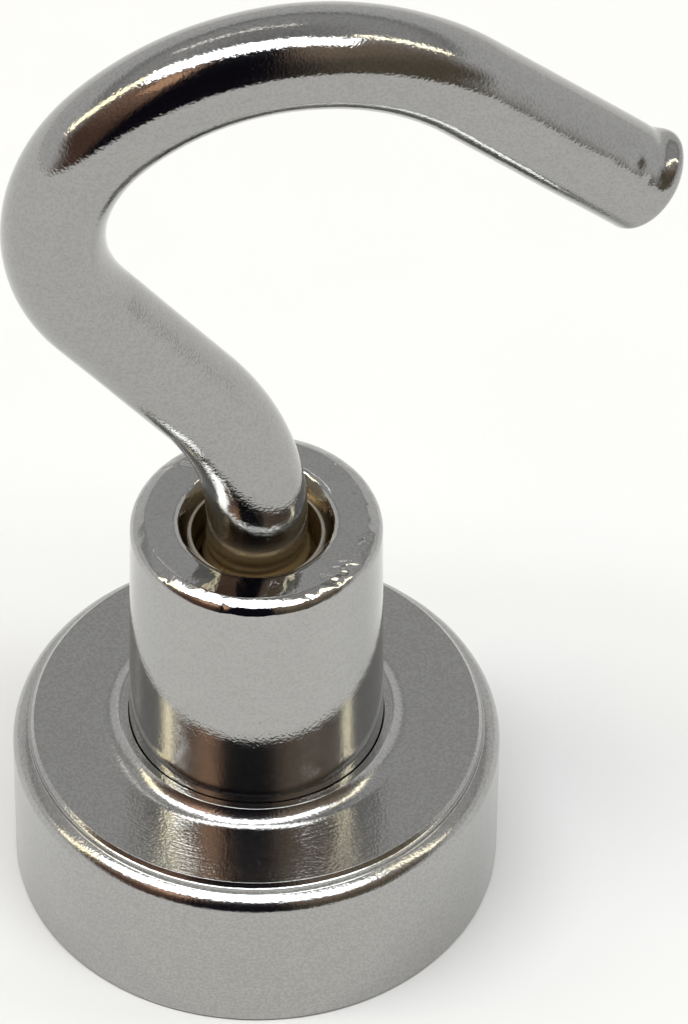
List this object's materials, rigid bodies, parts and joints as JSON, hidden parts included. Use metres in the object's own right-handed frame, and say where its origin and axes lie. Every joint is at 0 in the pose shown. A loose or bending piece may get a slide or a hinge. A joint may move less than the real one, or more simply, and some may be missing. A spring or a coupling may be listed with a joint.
{
  "type": "hook pot magnet",
  "caption": "Small nickel-plated pot magnet: a round steel cup with a threaded neck and an open wire hook screwed into it.",
  "frame": {"origin": "centre of the magnet's contact face, on the neck's axis", "axes": "+Z along the neck's axis, away from the contact face; +X towards the hook's open mouth; the hook lies in the XZ plane"},
  "size_m": [0.016, 0.012, 0.0275],
  "materials": {
    "plated_cup": "satin nickel plate on drawn steel",
    "plated_bush": "bright nickel plate on turned steel",
    "plated_magnet": "bright nickel plate on sintered magnet",
    "cured_adhesive": "cured glue, out of sight",
    "potting_resin": "dark cured resin, slightly glossy",
    "plated_wire": "bright nickel plate on bent steel wire, fine orange peel"
  },
  "bodies": {
    "pot": {"pot_cup": "plated_cup", "threaded_bush": "plated_bush", "magnet_disc": "plated_magnet", "adhesive_film": "cured_adhesive", "potting_ring": "potting_resin"},
    "hook": {"screw_hook": "plated_wire"}
  },
  "joints": [
    {"name": "hook_turn", "type": "hinge", "parent": "pot", "child": "hook", "pos_m": [0, 0, 0.0115], "axis": [0, 0, 1], "range_deg": [0, 540]}
  ]
}
